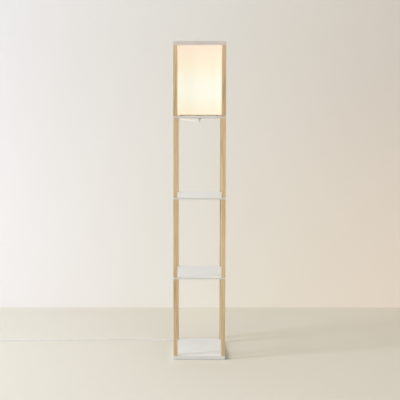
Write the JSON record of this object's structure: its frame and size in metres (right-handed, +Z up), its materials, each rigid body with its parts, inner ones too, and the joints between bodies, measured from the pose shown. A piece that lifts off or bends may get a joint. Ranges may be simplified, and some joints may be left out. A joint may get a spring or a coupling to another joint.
{
  "type": "shelf floor lamp",
  "caption": "Square tower floor lamp: wooden corner posts carry open white shelves and a lit fabric shade under a flat top, with a pull chain and a mains cord.",
  "frame": {"origin": "on the floor, under the centre of the square footprint", "axes": "+Z up, front faces -Y, +X to the right as seen from the front"},
  "size_m": [1.3726, 0.3075, 1.5941],
  "materials": {
    "post_wood": "light natural wood, satin clear coat",
    "shelf_paint": "white foil on particle board, satin",
    "top_paint": "white foil on particle board, satin",
    "felt": "pressed felt",
    "zinc_steel": "zinc plated",
    "beech_dowel": "fluted beech, bare",
    "shade_fabric": "linen-look fabric laminated on clear sheet",
    "batten_wood": "light natural wood, bare",
    "ring_steel": "white enamel",
    "nickel": "satin nickel plate",
    "thread_metal": "rolled thread, bright",
    "brass_contact": "bright",
    "phenolic": "moulded black",
    "nylon": "moulded white",
    "bulb_opal": "opal polycarbonate, lit",
    "bulb_plastic": "moulded white",
    "moulded_pvc": "moulded white PVC",
    "cord_pvc": "extruded white PVC, satin",
    "clip_plastic": "moulded white"
  },
  "bodies": {
    "root": {"base_bolts": "zinc_steel", "base_panel": "shelf_paint", "centre_contact": "brass_contact", "chain_bushing": "nylon", "chain_guide": "nickel", "cord_clips": "clip_plastic", "cord_coil": "cord_pvc", "cord_riser": "cord_pvc", "foot_pads": "felt", "holder_cap": "nickel", "holder_shell": "nickel", "light_shelf": "shelf_paint", "lock_nut": "zinc_steel", "lower_post_back_left": "post_wood", "lower_post_back_right": "post_wood", "lower_post_front_left": "post_wood", "lower_post_front_right": "post_wood", "lower_shelf": "shelf_paint", "lower_studs": "zinc_steel", "middle_post_back_left": "post_wood", "middle_post_back_right": "post_wood", "middle_post_front_left": "post_wood", "middle_post_front_right": "post_wood", "middle_shelf": "shelf_paint", "middle_studs": "zinc_steel", "nipple": "zinc_steel", "plug_blades": "brass_contact", "plug_body": "moulded_pvc", "plug_lead": "cord_pvc", "power_cord": "cord_pvc", "screw_shell": "thread_metal", "shade_battens": "batten_wood", "shade_bottom_ring": "ring_steel", "shade_post_back_left": "post_wood", "shade_post_back_right": "post_wood", "shade_post_front_left": "post_wood", "shade_post_front_right": "post_wood", "shade_sleeve": "shade_fabric", "shade_top_ring": "ring_steel", "strain_relief": "moulded_pvc", "switch_block": "phenolic", "top_dowels": "beech_dowel", "top_panel": "top_paint", "upper_post_back_left": "post_wood", "upper_post_back_right": "post_wood", "upper_post_front_left": "post_wood", "upper_post_front_right": "post_wood", "upper_studs": "zinc_steel", "washer": "zinc_steel"},
    "chain": {"bead_chain": "nickel", "chain_bell": "nickel"},
    "bulb": {"bulb_contact": "brass_contact", "bulb_diffuser": "bulb_opal", "bulb_housing": "bulb_plastic", "bulb_insulator": "phenolic", "bulb_screw_cap": "thread_metal"}
  },
  "joints": [
    {"name": "chain_pull", "type": "slide", "parent": "root", "child": "chain", "axis": [0, 0, -1], "range_m": [0, 0.01], "stiffness_N_per_m": 200},
    {"name": "bulb_turn", "type": "hinge", "parent": "root", "child": "bulb", "pos_m": [0, 0, 1.346], "axis": [0, 0, 1], "range_deg": [0, 1080]}
  ]
}
